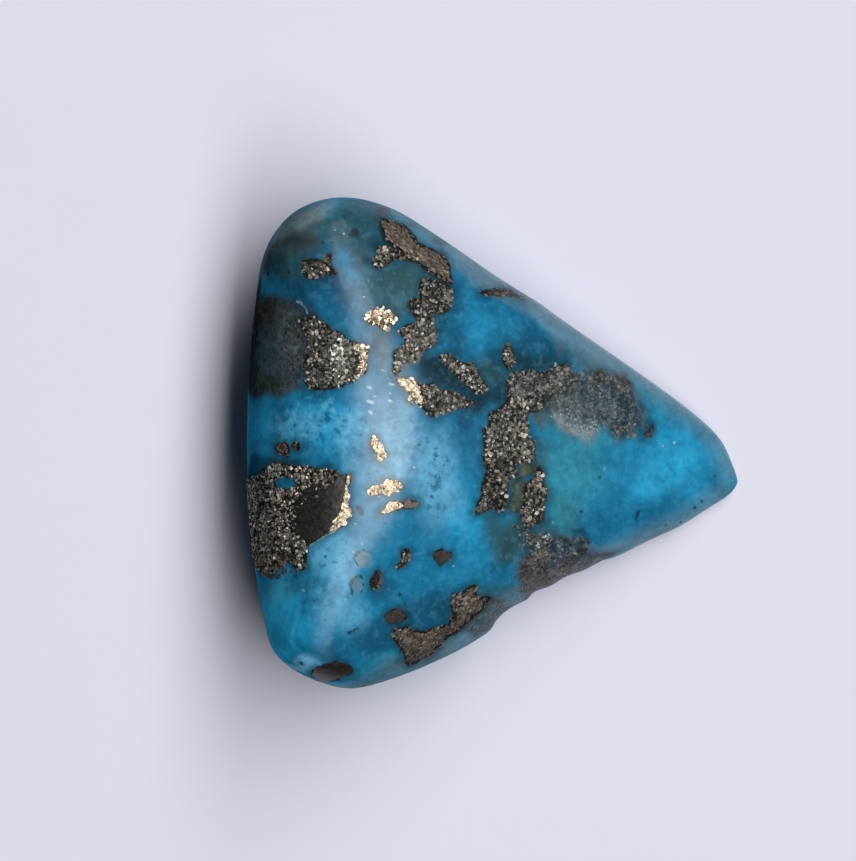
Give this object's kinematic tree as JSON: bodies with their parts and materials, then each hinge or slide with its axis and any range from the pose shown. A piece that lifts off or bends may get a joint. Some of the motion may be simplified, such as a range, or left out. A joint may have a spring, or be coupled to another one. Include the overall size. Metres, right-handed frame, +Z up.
{
  "type": "polished freeform turquoise nugget with pyrite",
  "caption": "Rounded triangular polished turquoise stone with pyrite patches, tall at one side and thin at its point, flat underneath.",
  "frame": {"origin": "bottom centre of the stone's bounding box, on the surface it rests on", "axes": "+X from the tall left wall towards the thin point, +Y towards the upper left corner, +Z up out of the polished top"},
  "size_m": [0.0222, 0.022, 0.0084],
  "materials": {
    "turquoise": "polished mottled blue turquoise with granular pyrite set in it"
  },
  "bodies": {
    "root": {"turquoise_nugget": "turquoise"}
  },
  "joints": []
}
